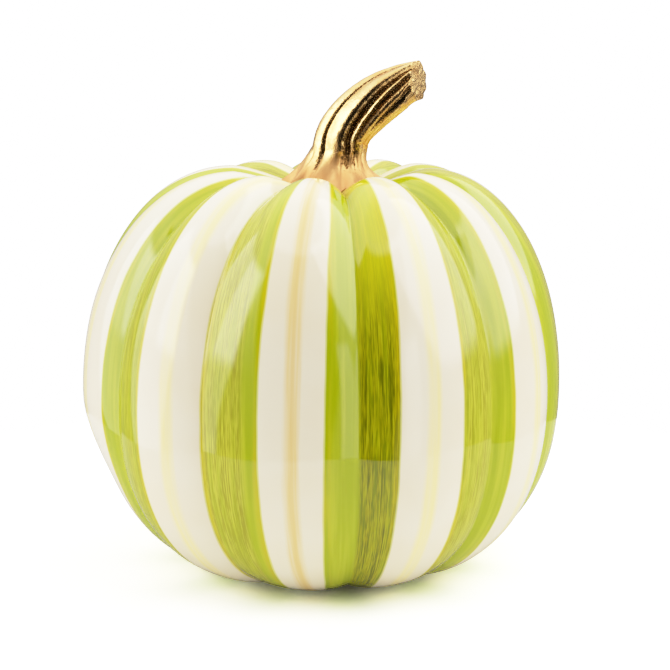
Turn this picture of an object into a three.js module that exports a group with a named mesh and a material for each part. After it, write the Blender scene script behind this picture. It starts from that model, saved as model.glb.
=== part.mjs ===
// Ceramic pumpkin figure: a hollow ribbed shell, a gilded stem bonded into its crown,
// a plug in the base vent and five bumpers under the foot.
// Millimetres, +Z up. The origin is the middle of the footprint, on the table.
// Azimuths are measured from the front (-Y) towards +X.
import * as THREE from "three";

// Body outline, measured on the crest of a lobe.
const BODY_RADIUS = 115;
const CREST_TOP_Z = 193;
const CROWN_TILT = 2.2;
const WIDEST_Z = 91;
const CROWN_RING_RADIUS = 47;
const BASE_RING_RADIUS = 32;
const SHOULDER_POWER = 2.06;
const BELLY_POWER = 2.28;
// The crown sits to one side of the belly, so the belly's radius varies round the axis.
const SIDE_LEAN = -0.062;

// Furrows between the lobes, in degrees, and how far they sink below the crests.
const FURROWS = [-156, -123, -88, -57.5, -31, 5.5, 41.5, 72, 105.5, 139, 171.5];
const FURROW_POWER = 2.4;
const FURROW_DEPTH_MIDDLE = 4;
const FURROW_DEPTH_CROWN = 9;
const FURROW_DEPTH_BASE = 2.6;

// One lobe is drawn in below the widest line. Its azimuth and half its width are in degrees, and
// the heights run from the foot, where the tuck starts, to the top, where it has gone.
const TUCK_AZIMUTH = -76;
const TUCK_HALF_WIDTH = 20;
const TUCK_DEPTH = 6;
const TUCK_FOOT_Z = 6;
const TUCK_LOW_Z = 18;
const TUCK_HIGH_Z = 45;
const TUCK_TOP_Z = 91;

// Crown well, and the socket that takes the stem.
const WELL_DROP = 11.8;
const WELL_POWER = 1.35;
const SOCKET_RADIUS = 12;

// Wall and base.
const WALL = 6;
const FOOT_Z = 2.8;
const FOOT_INNER_RADIUS = 30;
const RECESS_Z = 7.5;
const VENT_RADIUS = 7;

// Stem.
const STEM_RIDGES = 6;
const RIDGE_DEPTH = 0.11;
const NECK_X = 1.9;
const NECK_Z = 203;
const NECK_RADIUS = 12.7;
const ROOT_RADIUS = 21.5;
const ROOT_REACH = 7.5;
const STEM_TWIST = -1.1;
const SPIGOT_RADIUS = 8.5;
const SPIGOT_END_Z = 164;

// Clearance between pieces that touch on the real figure.
const GAP = 0.35;
const ROOT_CLEARANCE = 1;
const RIM_CLEARANCE = 0.6;

// Bumpers and vent plug.
const BUMPER_COUNT = 5;
const BUMPER_RADIUS = 5;
const BUMPER_CIRCLE = 39;
const PLUG_HEAD_RADIUS = 10.5;

const LOBE_STEPS = 8;
const WELL_STEPS = 5;
const SHOULDER_STEPS = 10;
const BELLY_STEPS = 8;
const INNER_STEPS = 8;

// Material looks.
const GLAZE = { color: 0xdfe3a8, roughness: 0.12, metalness: 0 };
const GOLD_LEAF = { color: 0xc9963f, roughness: 0.3, metalness: 1 };
const EPOXY = { color: 0xd8cfae, roughness: 0.45, metalness: 0 };
const PLUG_RUBBER = { color: 0xe4e2dc, roughness: 0.6, metalness: 0 };
const BUMPER_RUBBER = { color: 0xc9cccb, roughness: 0.4, metalness: 0 };

const radians = THREE.MathUtils.degToRad;

// The azimuths of every mesh line, closer together beside the furrows.
function lobeAzimuths(steps) {
  const lines = [];
  FURROWS.forEach((start, i) => {
    const next = i + 1 < FURROWS.length ? FURROWS[i + 1] : FURROWS[0] + 360;
    for (let j = 0; j < steps; j += 1) {
      const across = 0.5 - 0.5 * Math.cos((Math.PI * j) / steps);
      lines.push({
        azimuth: radians(start + (next - start) * across),
        furrow: Math.abs(2 * across - 1) ** FURROW_POWER,
      });
    }
  });
  return lines;
}

const LINES = lobeAzimuths(LOBE_STEPS);
const STEM_LINES = LINES.filter((line, i) => i % 2 === 0);

function onAxis(azimuth, radius, z) {
  return new THREE.Vector3(radius * Math.sin(azimuth), -radius * Math.cos(azimuth), z);
}

function leanAt(azimuth) {
  return 1 + SIDE_LEAN * Math.sin(azimuth);
}

// The crown sits a little higher at the front than at the back.
function crownTiltAt(azimuth) {
  return CROWN_TILT * Math.cos(azimuth);
}

// Crest outline of the body. t is 0 at the crown ring, a quarter turn at the widest line and
// a half turn at the base ring.
function crestOutline(t) {
  const upper = t <= Math.PI / 2;
  const power = 2 / (upper ? SHOULDER_POWER : BELLY_POWER);
  const ring = upper ? CROWN_RING_RADIUS : BASE_RING_RADIUS;
  const height = upper ? CREST_TOP_Z - WIDEST_Z : WIDEST_Z;
  const rise = Math.abs(Math.cos(t)) ** power;
  return {
    radius: ring + (BODY_RADIUS - ring) * Math.abs(Math.sin(t)) ** power,
    z: WIDEST_Z + (upper ? height : -height) * rise,
    tilted: upper ? rise : 0,
  };
}

function furrowDepth(t) {
  const end = t <= Math.PI / 2 ? FURROW_DEPTH_CROWN : FURROW_DEPTH_BASE;
  return FURROW_DEPTH_MIDDLE + (end - FURROW_DEPTH_MIDDLE) * Math.cos(t) ** 2;
}

function tuckAt(azimuth, z) {
  const off = (THREE.MathUtils.radToDeg(azimuth) - TUCK_AZIMUTH) / TUCK_HALF_WIDTH;
  const across = Math.max(1 - off ** 2, 0) ** 1.5;
  const below = 1 - THREE.MathUtils.smoothstep(z, TUCK_HIGH_Z, TUCK_TOP_Z);
  return TUCK_DEPTH * across * below * THREE.MathUtils.smoothstep(z, TUCK_FOOT_Z, TUCK_LOW_Z);
}

// A point of the body's skin, sunk below the crest outline by inset and by its share of furrow.
function skinPoint(line, t, inset, furrowShare) {
  const step = 0.004;
  const low = Math.max(t - step, 0.001);
  const high = Math.min(t + step, Math.PI - 0.001);
  const a = crestOutline(low);
  const b = crestOutline(high);
  const length = Math.hypot(b.radius - a.radius, b.z - a.z);
  const sink = inset + furrowDepth(t) * line.furrow * furrowShare;
  const here = crestOutline(t);
  const outRadius = t === 0 ? 0 : -(b.z - a.z) / length;
  const outZ = t === 0 ? 1 : (b.radius - a.radius) / length;
  const z = here.z - outZ * sink + here.tilted * crownTiltAt(line.azimuth);
  const radius = (here.radius - outRadius * sink) * leanAt(line.azimuth);
  return { radius: radius - tuckAt(line.azimuth, z), z };
}

// The t where the skin comes down to height z on the belly.
function bellyTurn(line, z, inset, furrowShare) {
  let high = Math.PI / 2;
  let low = Math.PI * 0.98;
  for (let i = 0; i < 40; i += 1) {
    const middle = (high + low) / 2;
    if (skinPoint(line, middle, inset, furrowShare).z > z) {
      high = middle;
    } else {
      low = middle;
    }
  }
  return high;
}

// The crown well between the crown ring and the socket. q is 0 at the ring and 1 at the socket.
function wellHeight(line, q) {
  const furrow = FURROW_DEPTH_CROWN * line.furrow * (1 - q) ** 1.2;
  const tilt = crownTiltAt(line.azimuth) * (1 - q);
  return CREST_TOP_Z + tilt - WELL_DROP * q ** WELL_POWER - furrow;
}

function wellRadius(line, q) {
  const ring = CROWN_RING_RADIUS * leanAt(line.azimuth);
  return ring + (SOCKET_RADIUS - ring) * q;
}

function wellHeightAtRadius(line, radius) {
  const ring = CROWN_RING_RADIUS * leanAt(line.azimuth);
  const q = (ring - radius) / (ring - SOCKET_RADIUS);
  return wellHeight(line, THREE.MathUtils.clamp(q, 0, 1));
}

// Skins a row of rings that all hold the same number of points, running upwards on the outside.
// A looped row closes on its first ring, and an open one is capped at both ends.
function skinRings(rings, looped) {
  const count = rings[0].length;
  const points = rings.flat();
  const faces = [];
  const joins = looped ? rings.length : rings.length - 1;
  for (let i = 0; i < joins; i += 1) {
    const here = i * count;
    const there = ((i + 1) % rings.length) * count;
    for (let j = 0; j < count; j += 1) {
      const k = (j + 1) % count;
      faces.push(here + j, here + k, there + j);
      faces.push(here + k, there + k, there + j);
    }
  }
  if (!looped) {
    const last = (rings.length - 1) * count;
    const firstCentre = points.push(middleOf(rings[0])) - 1;
    const lastCentre = points.push(middleOf(rings[rings.length - 1])) - 1;
    for (let j = 0; j < count; j += 1) {
      const k = (j + 1) % count;
      faces.push(firstCentre, k, j);
      faces.push(lastCentre, last + j, last + k);
    }
  }
  const geometry = new THREE.BufferGeometry();
  const flat = points.flatMap((p) => [p.x, p.y, p.z]);
  geometry.setAttribute("position", new THREE.Float32BufferAttribute(flat, 3));
  geometry.setIndex(faces);
  geometry.computeVertexNormals();
  return geometry;
}

function middleOf(ring) {
  const middle = new THREE.Vector3();
  ring.forEach((point) => middle.add(point));
  return middle.divideScalar(ring.length);
}

function ringOf(lines, shape) {
  return lines.map((line) => {
    const { radius, z } = shape(line);
    return onAxis(line.azimuth, radius, z);
  });
}

// A hollow casting with one wall: over the crown, down the outside, under the foot, up through
// the vent and back up the inside to the socket.
function shellGeometry() {
  const rings = [];
  for (let i = 0; i < WELL_STEPS; i += 1) {
    const q = 1 - i / WELL_STEPS;
    rings.push(ringOf(LINES, (line) => ({
      radius: wellRadius(line, q),
      z: wellHeight(line, q),
    })));
  }
  for (let i = 0; i < SHOULDER_STEPS; i += 1) {
    const t = (Math.PI / 2) * (i / SHOULDER_STEPS);
    rings.push(ringOf(LINES, (line) => skinPoint(line, t, 0, 1)));
  }
  for (let i = 0; i <= BELLY_STEPS; i += 1) {
    rings.push(ringOf(LINES, (line) => {
      const end = bellyTurn(line, FOOT_Z, 0, 1);
      const t = Math.PI / 2 + (end - Math.PI / 2) * (i / BELLY_STEPS);
      const point = skinPoint(line, t, 0, 1);
      return { radius: point.radius, z: i === BELLY_STEPS ? FOOT_Z : point.z };
    }));
  }
  rings.push(ringOf(LINES, () => ({ radius: FOOT_INNER_RADIUS, z: FOOT_Z })));
  rings.push(ringOf(LINES, () => ({ radius: FOOT_INNER_RADIUS - 4, z: RECESS_Z })));
  rings.push(ringOf(LINES, () => ({ radius: VENT_RADIUS, z: RECESS_Z })));
  rings.push(ringOf(LINES, () => ({ radius: VENT_RADIUS, z: RECESS_Z + WALL })));
  for (let i = 0; i <= INNER_STEPS; i += 1) {
    rings.push(ringOf(LINES, (line) => {
      const end = bellyTurn(line, RECESS_Z + WALL, WALL, 0.85);
      return skinPoint(line, end * (1 - i / INNER_STEPS), WALL, 0.85);
    }));
  }
  rings.push(ringOf(LINES, (line) => ({
    radius: wellRadius(line, 0.5),
    z: wellHeight(line, 0.5) - WALL,
  })));
  rings.push(ringOf(LINES, () => ({
    radius: SOCKET_RADIUS,
    z: CREST_TOP_Z - WELL_DROP - WALL,
  })));
  return skinRings(rings.reverse(), true);
}

// The stem's middle line, as [x, z, radius] stations from the neck to the cut end.
const STEM_STATIONS = [
  [NECK_X, NECK_Z, NECK_RADIUS],
  [3.2, 208, 12.2],
  [6.6, 213.5, 11.9],
  [14.4, 221.2, 11.6],
  [24, 228, 10.6],
  [32, 232.2, 9.3],
  [39, 234.6, 8.8],
];
const SPINE = new THREE.CatmullRomCurve3(
  STEM_STATIONS.map(([x, z]) => new THREE.Vector3(x, 0, z)),
);

function stemRadius(along) {
  const place = along * (STEM_STATIONS.length - 1);
  const i = Math.min(Math.floor(place), STEM_STATIONS.length - 2);
  return THREE.MathUtils.lerp(STEM_STATIONS[i][2], STEM_STATIONS[i + 1][2], place - i);
}

function ridge(azimuth, along) {
  return 1 + RIDGE_DEPTH * Math.cos(STEM_RIDGES * (azimuth - STEM_TWIST * along));
}

// The root spreads from the neck into points that lie in the furrows, resting just above the
// glaze, and a spigot under it goes down through the socket.
function stemGeometry() {
  const rings = [];
  const spigot = (z, radius) => ringOf(STEM_LINES, () => ({ radius, z }));
  rings.push(spigot(SPIGOT_END_Z, SPIGOT_RADIUS - 1));
  rings.push(spigot(SPIGOT_END_Z + 1, SPIGOT_RADIUS));
  rings.push(spigot(CREST_TOP_Z - WELL_DROP + GAP, SPIGOT_RADIUS));
  const rimRadius = (line) => ROOT_RADIUS + ROOT_REACH * line.furrow;
  for (const spread of [0.25, 0.5, 0.75]) {
    rings.push(ringOf(STEM_LINES, (line) => {
      const radius = THREE.MathUtils.lerp(SOCKET_RADIUS, rimRadius(line), spread);
      return { radius, z: wellHeightAtRadius(line, radius) + ROOT_CLEARANCE };
    }));
  }
  rings.push(ringOf(STEM_LINES, (line) => ({
    radius: rimRadius(line),
    z: wellHeightAtRadius(line, rimRadius(line)) + RIM_CLEARANCE,
  })));
  const rootSteps = 5;
  for (let i = 0; i < rootSteps; i += 1) {
    const rise = i / rootSteps;
    const shift = new THREE.Vector3(NECK_X * rise ** 1.5, 0, 0);
    const ring = ringOf(STEM_LINES, (line) => {
      const rim = rimRadius(line) - 0.3;
      const foot = wellHeightAtRadius(line, rim) + RIM_CLEARANCE + 0.8;
      const neck = NECK_RADIUS * ridge(line.azimuth, 0);
      return {
        radius: neck + (rim - neck) * (1 - rise) ** 1.8,
        z: THREE.MathUtils.lerp(foot, NECK_Z, rise),
      };
    });
    rings.push(ring.map((point) => point.add(shift)));
  }
  const spineSteps = 15;
  const side = new THREE.Vector3(0, 1, 0);
  const level = new THREE.Vector3(0, 0, 1);
  const cutFacing = new THREE.Vector3(1, -0.4, 0.12).normalize();
  for (let i = 0; i <= spineSteps; i += 1) {
    const along = i / spineSteps;
    const centre = SPINE.getPoint(along);
    const facing = SPINE.getTangent(along);
    facing.lerp(level, Math.max(0, 1 - along * 6));
    facing.lerp(cutFacing, Math.max(0, along * 5 - 4));
    const right = new THREE.Vector3().crossVectors(side, facing).normalize();
    const across = new THREE.Vector3().crossVectors(facing, right).normalize();
    rings.push(STEM_LINES.map((line) => {
      const radius = stemRadius(along) * ridge(line.azimuth, along);
      return centre.clone()
        .addScaledVector(right, radius * Math.sin(line.azimuth))
        .addScaledVector(across, -radius * Math.cos(line.azimuth));
    }));
  }
  return skinRings(rings, false);
}

function bondGeometry() {
  const top = CREST_TOP_Z - WELL_DROP - GAP;
  const bottom = CREST_TOP_Z - WELL_DROP - WALL + GAP;
  const outer = SOCKET_RADIUS - GAP;
  const inner = SPIGOT_RADIUS + GAP;
  const section = [[inner, top], [inner, bottom], [outer, bottom], [outer, top]];
  return skinRings(section.map(([radius, z]) => ringOf(STEM_LINES, () => ({ radius, z }))), true);
}

// Turned pieces. The outline runs upwards from the axis back to the axis.
function turned(outline, segments) {
  const geometry = new THREE.LatheGeometry(outline.map(([r, z]) => new THREE.Vector2(r, z)), segments);
  return geometry.rotateX(Math.PI / 2);
}

function plugGeometry() {
  const shaft = VENT_RADIUS - GAP;
  const seat = RECESS_Z - GAP;
  const inside = RECESS_Z + WALL + GAP;
  return turned([
    [0, 4.4],
    [PLUG_HEAD_RADIUS - 4, 4.5],
    [PLUG_HEAD_RADIUS - 0.7, 5.2],
    [PLUG_HEAD_RADIUS, 6.2],
    [PLUG_HEAD_RADIUS, seat],
    [shaft, seat],
    [shaft, inside],
    [shaft + 1, inside + 0.6],
    [shaft + 0.7, inside + 1.4],
    [shaft - 1.2, inside + 3],
    [0, inside + 3.2],
  ], 40);
}

function bumperGeometry() {
  return turned([
    [0, 0],
    [BUMPER_RADIUS - 1.7, 0],
    [BUMPER_RADIUS - 0.6, 0.4],
    [BUMPER_RADIUS, 1.3],
    [BUMPER_RADIUS, FOOT_Z - GAP],
    [0, FOOT_Z - GAP],
  ], 32);
}

function piece(name, geometry, look) {
  const mesh = new THREE.Mesh(geometry, new THREE.MeshStandardMaterial(look));
  mesh.name = name;
  return mesh;
}

const figure = new THREE.Group();
figure.name = "pumpkin";
figure.add(piece("shell", shellGeometry(), GLAZE));
figure.add(piece("stem", stemGeometry(), GOLD_LEAF));
figure.add(piece("stem_bond", bondGeometry(), EPOXY));
figure.add(piece("vent_plug", plugGeometry(), PLUG_RUBBER));
for (let i = 0; i < BUMPER_COUNT; i += 1) {
  const bumper = piece(`bumper_${i + 1}`, bumperGeometry(), BUMPER_RUBBER);
  bumper.position.copy(onAxis((2 * Math.PI * i) / BUMPER_COUNT, BUMPER_CIRCLE, 0));
  figure.add(bumper);
}

// The crown axis is off the footprint's middle, so the whole figure moves over to centre it.
const outline = new THREE.Box3().setFromObject(figure);
figure.position.set(-(outline.min.x + outline.max.x) / 2, -(outline.min.y + outline.max.y) / 2, 0);

const part = new THREE.Group();
part.name = "ceramic_pumpkin_figure";
part.add(figure);

export default part;
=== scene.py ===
# Ceramic pumpkin figure: a striped, glazed body, a gilded stem, the adhesive that holds it, a vent
# plug and bumpers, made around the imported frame. Shapes are worked out in millimetres about the
# crown axis, with azimuths from the front (-Y) towards +X, and become metres when a mesh is made.
import math

import bpy
import numpy as np
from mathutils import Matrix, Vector, noise


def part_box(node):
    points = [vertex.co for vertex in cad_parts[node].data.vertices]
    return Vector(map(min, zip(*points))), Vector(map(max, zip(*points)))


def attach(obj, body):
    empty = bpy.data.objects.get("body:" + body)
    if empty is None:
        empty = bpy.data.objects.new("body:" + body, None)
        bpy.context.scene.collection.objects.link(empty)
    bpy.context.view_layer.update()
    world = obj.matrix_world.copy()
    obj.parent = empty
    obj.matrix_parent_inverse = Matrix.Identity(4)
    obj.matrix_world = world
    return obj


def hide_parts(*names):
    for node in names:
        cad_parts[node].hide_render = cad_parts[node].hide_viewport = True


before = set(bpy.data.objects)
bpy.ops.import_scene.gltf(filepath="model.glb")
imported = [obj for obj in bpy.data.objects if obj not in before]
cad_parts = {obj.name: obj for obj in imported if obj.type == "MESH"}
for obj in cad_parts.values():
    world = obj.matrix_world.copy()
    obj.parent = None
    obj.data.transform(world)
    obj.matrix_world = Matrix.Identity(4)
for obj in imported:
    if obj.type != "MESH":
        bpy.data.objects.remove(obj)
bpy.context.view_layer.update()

MM = 0.001
bond_low, bond_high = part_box("stem_bond")
AXIS = (bond_low + bond_high) / 2
AXIS.z = 0

# Body outline on the crest of a lobe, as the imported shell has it.
BODY_RADIUS = 115
CREST_TOP_Z = 193
CROWN_TILT = 2.2
WIDEST_Z = 91
CROWN_RING_RADIUS = 47
BASE_RING_RADIUS = 32
SHOULDER_POWER = 2.06
BELLY_POWER = 2.28
SIDE_LEAN = -0.062
# Azimuths of the furrows, how sharp they are, and how deep at the widest line, crown and base.
FURROWS = [-156, -123, -88, -57.5, -31, 5.5, 41.5, 72, 105.5, 139, 171.5]
FURROW_POWER = 2.4
FURROW_DEPTH_MIDDLE = 4
FURROW_DEPTH_CROWN = 9
FURROW_DEPTH_BASE = 2.6
# The well in the crown, and the socket in the middle of it.
WELL_DROP = 11.8
WELL_POWER = 1.35
WELL_FURROW_FADE = 1.2
SOCKET_RADIUS = 12
WALL = 6
INSIDE_FURROW_SHARE = 0.85
FOOT_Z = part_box("shell")[0].z / MM
FOOT_INNER_RADIUS = 30
RECESS_Z = 7.5
VENT_RADIUS = 7

# Painted stripes: azimuth of the middle, width in degrees at the belly, how many degrees the
# middle drifts from foot to crown, the azimuth where lime meets olive brushwork, and the side
# of that line that is olive (positive towards +azimuth) with how heavy the olive is.
STRIPES = [
    (-154, 16, 0.5, -155, 0.5),
    (-124, 17.5, -0.5, -123, -0.6),
    (-91.5, 15, 0, -88, 0.6),
    (-55.6, 16.3, 0.3, -57.5, 0.4),
    (-24.1, 14.8, 0.4, -20.5, -0.5),
    (6.3, 17.6, 1.8, 5.5, 1),
    (40, 18, 0.3, 41.5, -0.45),
    (77.5, 17, 0.4, 80, 0.6),
    (108.5, 16.5, -0.4, 106, -0.8),
    (141, 16, 0.5, 139, 0.5),
    (173, 16.5, 0.3, 171.5, -0.6),
]
# How much wider a stripe gets on the crown, and over what distance. The strokes down the middles
# of the creams are pale yellow, and ochre on the one that follows this stripe, counted from 0.
CROWN_WIDENING = 0.2
CROWN_WIDENING_REACH = 15
OCHRE_BAND = 4

# One lobe is drawn in below the widest line, as in the CAD: fully from the low to the high line,
# and less and less from there to the foot and to the top.
TUCK_AZIMUTH, TUCK_HALF_WIDTH, TUCK_DEPTH = -76, 20, 6
TUCK_FOOT_Z, TUCK_LOW_Z, TUCK_HIGH_Z, TUCK_TOP_Z = 6, 18, 45, 91
TUCK_ROUNDNESS = 1.5


def wrapped(degrees):
    return (degrees + 180) % 360 - 180


# ---------------------------------------------------------------- shape of the body

LOBE_STEPS = 40
GLAZE_FILL = 0.05
# Turns go from 0 at the crown ring to pi at the base ring: the step that the skin's slope is
# taken over, and the last turn where the skin is looked for at a height.
SLOPE_STEP = 0.004
LAST_TURN = 0.98 * np.pi
HALVINGS = 40


def lobe_lines(steps, fill):
    """Azimuths in degrees all round, closer beside the furrows, and each one's share of furrow.
    fill is how much of a furrow's sharp bottom is rounded off."""
    ends = FURROWS[1:] + [FURROWS[0] + 360]
    across = 0.5 - 0.5 * np.cos(np.pi * np.arange(steps) / steps)
    azimuth = np.concatenate([a + (b - a) * across for a, b in zip(FURROWS, ends)])
    furrow = np.tile(np.abs(2 * across - 1) ** FURROW_POWER, len(FURROWS))
    return azimuth, 1 - np.sqrt((1 - furrow) ** 2 + fill**2)


def crown_tilt(azimuth):
    """The crown sits a little higher at the front than at the back."""
    return CROWN_TILT * np.cos(np.radians(azimuth))


def crest(turn):
    """Crest outline. turn is 0 at the crown ring, pi/2 at the widest line, pi at the base ring."""
    upper = turn <= np.pi / 2
    power = 2 / np.where(upper, SHOULDER_POWER, BELLY_POWER)
    ring = np.where(upper, CROWN_RING_RADIUS, BASE_RING_RADIUS)
    height = np.where(upper, CREST_TOP_Z - WIDEST_Z, -WIDEST_Z)
    radius = ring + (BODY_RADIUS - ring) * np.abs(np.sin(turn)) ** power
    return radius, WIDEST_Z + height * np.abs(np.cos(turn)) ** power


def lean(azimuth):
    return 1 + SIDE_LEAN * np.sin(np.radians(azimuth))


def eased(value, low, high):
    """A smooth step from 0 to 1 as value goes from low to high."""
    u = np.clip((value - low) / (high - low), 0, 1)
    return u * u * (3 - 2 * u)


def tuck(azimuth, z):
    """How far the tucked lobe is drawn in."""
    off = wrapped(azimuth - TUCK_AZIMUTH) / TUCK_HALF_WIDTH
    across = np.maximum(1 - off**2, 0) ** TUCK_ROUNDNESS
    below = 1 - eased(z, TUCK_HIGH_Z, TUCK_TOP_Z)
    return TUCK_DEPTH * across * below * eased(z, TUCK_FOOT_Z, TUCK_LOW_Z)


def skin(azimuth, furrow, turn, inset=0.0, share=1.0):
    """Radius and height of the skin, sunk below the crest by inset and by its share of furrow."""
    low = np.maximum(turn - SLOPE_STEP, 0.001)
    high = np.minimum(turn + SLOPE_STEP, np.pi - 0.001)
    (r0, z0), (r1, z1) = crest(low), crest(high)
    length = np.hypot(r1 - r0, z1 - z0)
    out_r = np.where(turn == 0, 0, -(z1 - z0) / length)
    out_z = np.where(turn == 0, 1, (r1 - r0) / length)
    end = np.where(turn <= np.pi / 2, FURROW_DEPTH_CROWN, FURROW_DEPTH_BASE)
    depth = FURROW_DEPTH_MIDDLE + (end - FURROW_DEPTH_MIDDLE) * np.cos(turn) ** 2
    sink = inset + depth * furrow * share
    radius, z = crest(turn)
    tilt = np.clip((z - WIDEST_Z) / (CREST_TOP_Z - WIDEST_Z), 0, 1) * crown_tilt(azimuth)
    z = z - out_z * sink + tilt
    return (radius - out_r * sink) * lean(azimuth) - tuck(azimuth, z), z


def belly_turn(azimuth, furrow, height, inset=0.0, share=1.0):
    """The turn at which the skin comes down to a height, by halving."""
    low, high = np.full_like(furrow, np.pi / 2), np.full_like(furrow, LAST_TURN)
    for _ in range(HALVINGS):
        middle = (low + high) / 2
        above = skin(azimuth, furrow, middle, inset, share)[1] > height
        low, high = np.where(above, middle, low), np.where(above, high, middle)
    return low


def well(azimuth, furrow, q):
    """The crown well. q is 0 at the crown ring and 1 at the socket."""
    ring = CROWN_RING_RADIUS * lean(azimuth)
    sink = FURROW_DEPTH_CROWN * furrow * (1 - q) ** WELL_FURROW_FADE
    sink -= crown_tilt(azimuth) * (1 - q)
    return ring + (SOCKET_RADIUS - ring) * q, CREST_TOP_Z - WELL_DROP * q**WELL_POWER - sink


def well_height(azimuth, furrow, radius):
    ring = CROWN_RING_RADIUS * lean(azimuth)
    q = np.clip((ring - radius) / (ring - SOCKET_RADIUS), 0, 1)
    return well(azimuth, furrow, q)[1]


def on_axis(azimuth, radius, z):
    a = np.radians(azimuth)
    return np.stack(np.broadcast_arrays(radius * np.sin(a), -radius * np.cos(a), z), -1)


# ---------------------------------------------------------------- meshes

def ring_faces(rows, count, looped_rows):
    """Quads between rings of points, the rings running upwards on the outside."""
    j = np.arange(count)
    k = (j + 1) % count
    last = rows if looped_rows else rows - 1
    here = np.arange(last)[:, None] * count
    there = ((np.arange(last) + 1) % rows)[:, None] * count
    return np.stack([here + j, here + k, there + k, there + j], -1).reshape(-1, 4)


def close_ends(faces, total, count):
    """Adds fans of triangles from the first and last rings of count points to two more points,
    numbered total and total + 1."""
    for j in range(count):
        k = (j + 1) % count
        faces.append([total, k, j])
        faces.append([total + 1, total - count + j, total - count + k])


def make_piece(name, points, faces, materials, node):
    """A smooth-shaded mesh from points in millimetres, standing for one CAD node."""
    mesh = bpy.data.meshes.new(name)
    mesh.from_pydata((np.asarray(points) * MM + np.array(AXIS)).tolist(), [], faces)
    mesh.shade_smooth()
    for material in materials:
        mesh.materials.append(material)
    piece = bpy.data.objects.new(name, mesh)
    bpy.context.scene.collection.objects.link(piece)
    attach(piece, "root")
    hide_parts(node)
    return piece


def add_attribute(piece, name, values):
    """A number, or a row of three, for each point of the mesh."""
    values = np.asarray(values, np.float32)
    if values.ndim == 2:
        attribute = piece.data.attributes.new(name, "FLOAT_VECTOR", "POINT")
        attribute.data.foreach_set("vector", values.ravel())
    else:
        attribute = piece.data.attributes.new(name, "FLOAT", "POINT")
        attribute.data.foreach_set("value", values)


def relief(points, size, seed):
    """Smooth noise from -1 to 1 at each point, with features about size millimetres wide."""
    offset = Vector((seed, 1.7 * seed, -seed))
    return np.array([noise.noise(Vector(p) / size + offset) for p in points])


# ---------------------------------------------------------------- material nodes

class Nodes:
    """Builds a node network. Apart from node, feed and surface, each method returns a socket."""

    def __init__(self, tree):
        self.tree = tree
        tree.nodes.clear()

    def node(self, kind, inputs=None, **settings):
        made = self.tree.nodes.new(kind)
        for key, value in settings.items():
            setattr(made, key, value)
        for key, value in (inputs or {}).items():
            self.feed(made.inputs[key], value)
        return made

    def feed(self, socket, value):
        if isinstance(value, bpy.types.NodeSocket):
            self.tree.links.new(value, socket)
        elif isinstance(value, tuple) and len(value) == 3 and socket.type == "RGBA":
            socket.default_value = (*value, 1)
        else:
            socket.default_value = value

    def attribute(self, name, output="Fac"):
        return self.node("ShaderNodeAttribute", attribute_name=name).outputs[output]

    def math(self, operation, a, b=0.0):
        return self.node("ShaderNodeMath", {0: a, 1: b}, operation=operation).outputs[0]

    def add(self, a, b):
        return self.math("ADD", a, b)

    def times(self, a, b):
        return self.math("MULTIPLY", a, b)

    def about_zero(self, value, span):
        """Turns 0 to 1 into a range as wide as span, with 0 in the middle."""
        return self.times(self.math("SUBTRACT", value, 0.5), span)

    def stretched(self, vector, scales):
        made = self.node("ShaderNodeVectorMath", {0: vector, 1: scales}, operation="MULTIPLY")
        return made.outputs[0]

    def step(self, value, low, high, out_low=0.0, out_high=1.0):
        """A smooth step from out_low to out_high as value goes from low to high."""
        inputs = {"Value": value, "From Min": low, "From Max": high,
                  "To Min": out_low, "To Max": out_high}
        made = self.node("ShaderNodeMapRange", inputs, interpolation_type="SMOOTHSTEP")
        return made.outputs[0]

    def noise(self, vector, scale, detail, roughness):
        inputs = {"Vector": vector, "Scale": scale, "Detail": detail, "Roughness": roughness}
        return self.node("ShaderNodeTexNoise", inputs).outputs["Fac"]

    def mix(self, amount, a, b):
        made = self.node("ShaderNodeMix", data_type="RGBA")
        colours = [s for s in made.inputs if s.type == "RGBA"]
        self.feed(made.inputs[0], amount)
        self.feed(colours[0], a)
        self.feed(colours[1], b)
        return [s for s in made.outputs if s.type == "RGBA"][0]

    def bump(self, height, distance, strength=1.0):
        """distance is the relief in metres for a height of 1."""
        inputs = {"Height": height, "Distance": distance, "Strength": strength}
        return self.node("ShaderNodeBump", inputs).outputs[0]

    def place(self):
        return self.node("ShaderNodeTexCoord").outputs["Object"]

    def height(self):
        return self.node("ShaderNodeSeparateXYZ", {0: self.place()}).outputs["Z"]

    def surface(self, **inputs):
        """The Principled shader. Names have _ for a space."""
        shader = self.node("ShaderNodeBsdfPrincipled")
        for key, value in inputs.items():
            self.feed(shader.inputs[key.replace("_", " ")], value)
        self.node("ShaderNodeOutputMaterial", {"Surface": shader.outputs[0]})


def new_material(name):
    material = bpy.data.materials.new(name)
    material.use_nodes = True
    return material, Nodes(material.node_tree)


# Paint colours. The olive brushwork goes from dark to olive where it's heavy and from thin to
# straw where it's light, and towards the crown it is laid lighter and yellower as a painted highlight.
LIME = (0.33, 0.385, 0.002)
LIME_PALE = (0.43, 0.46, 0.015)
OLIVE = (0.35, 0.32, 0.002)
OLIVE_DARK = (0.11, 0.12, 0.001)
OLIVE_THIN = (0.27, 0.245, 0.008)
OLIVE_PAINTED_HIGHLIGHT = (0.56, 0.54, 0.01)
STRAW = (0.51, 0.50, 0.04)
GOLDEN = (0.52, 0.42, 0.004)
EDGE_YELLOW = (0.80, 0.74, 0.32)
CREAM = (0.835, 0.75, 0.585)
CREAM_WARM = (0.82, 0.715, 0.53)
PALE_YELLOW = (0.92, 0.77, 0.37)
OCHRE = (0.79, 0.575, 0.26)
OCHRE_DEEP = (0.75, 0.50, 0.18)
# Between these heights in metres the heavy olive turns to its painted highlight.
HIGHLIGHT_FROM, HIGHLIGHT_TO = 0.118, 0.175
# Relief in metres: of the brush marks, and of the glaze that flows over them.
BRUSH_RELIEF, GLAZE_RELIEF = 0.00006, 0.000008


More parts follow.
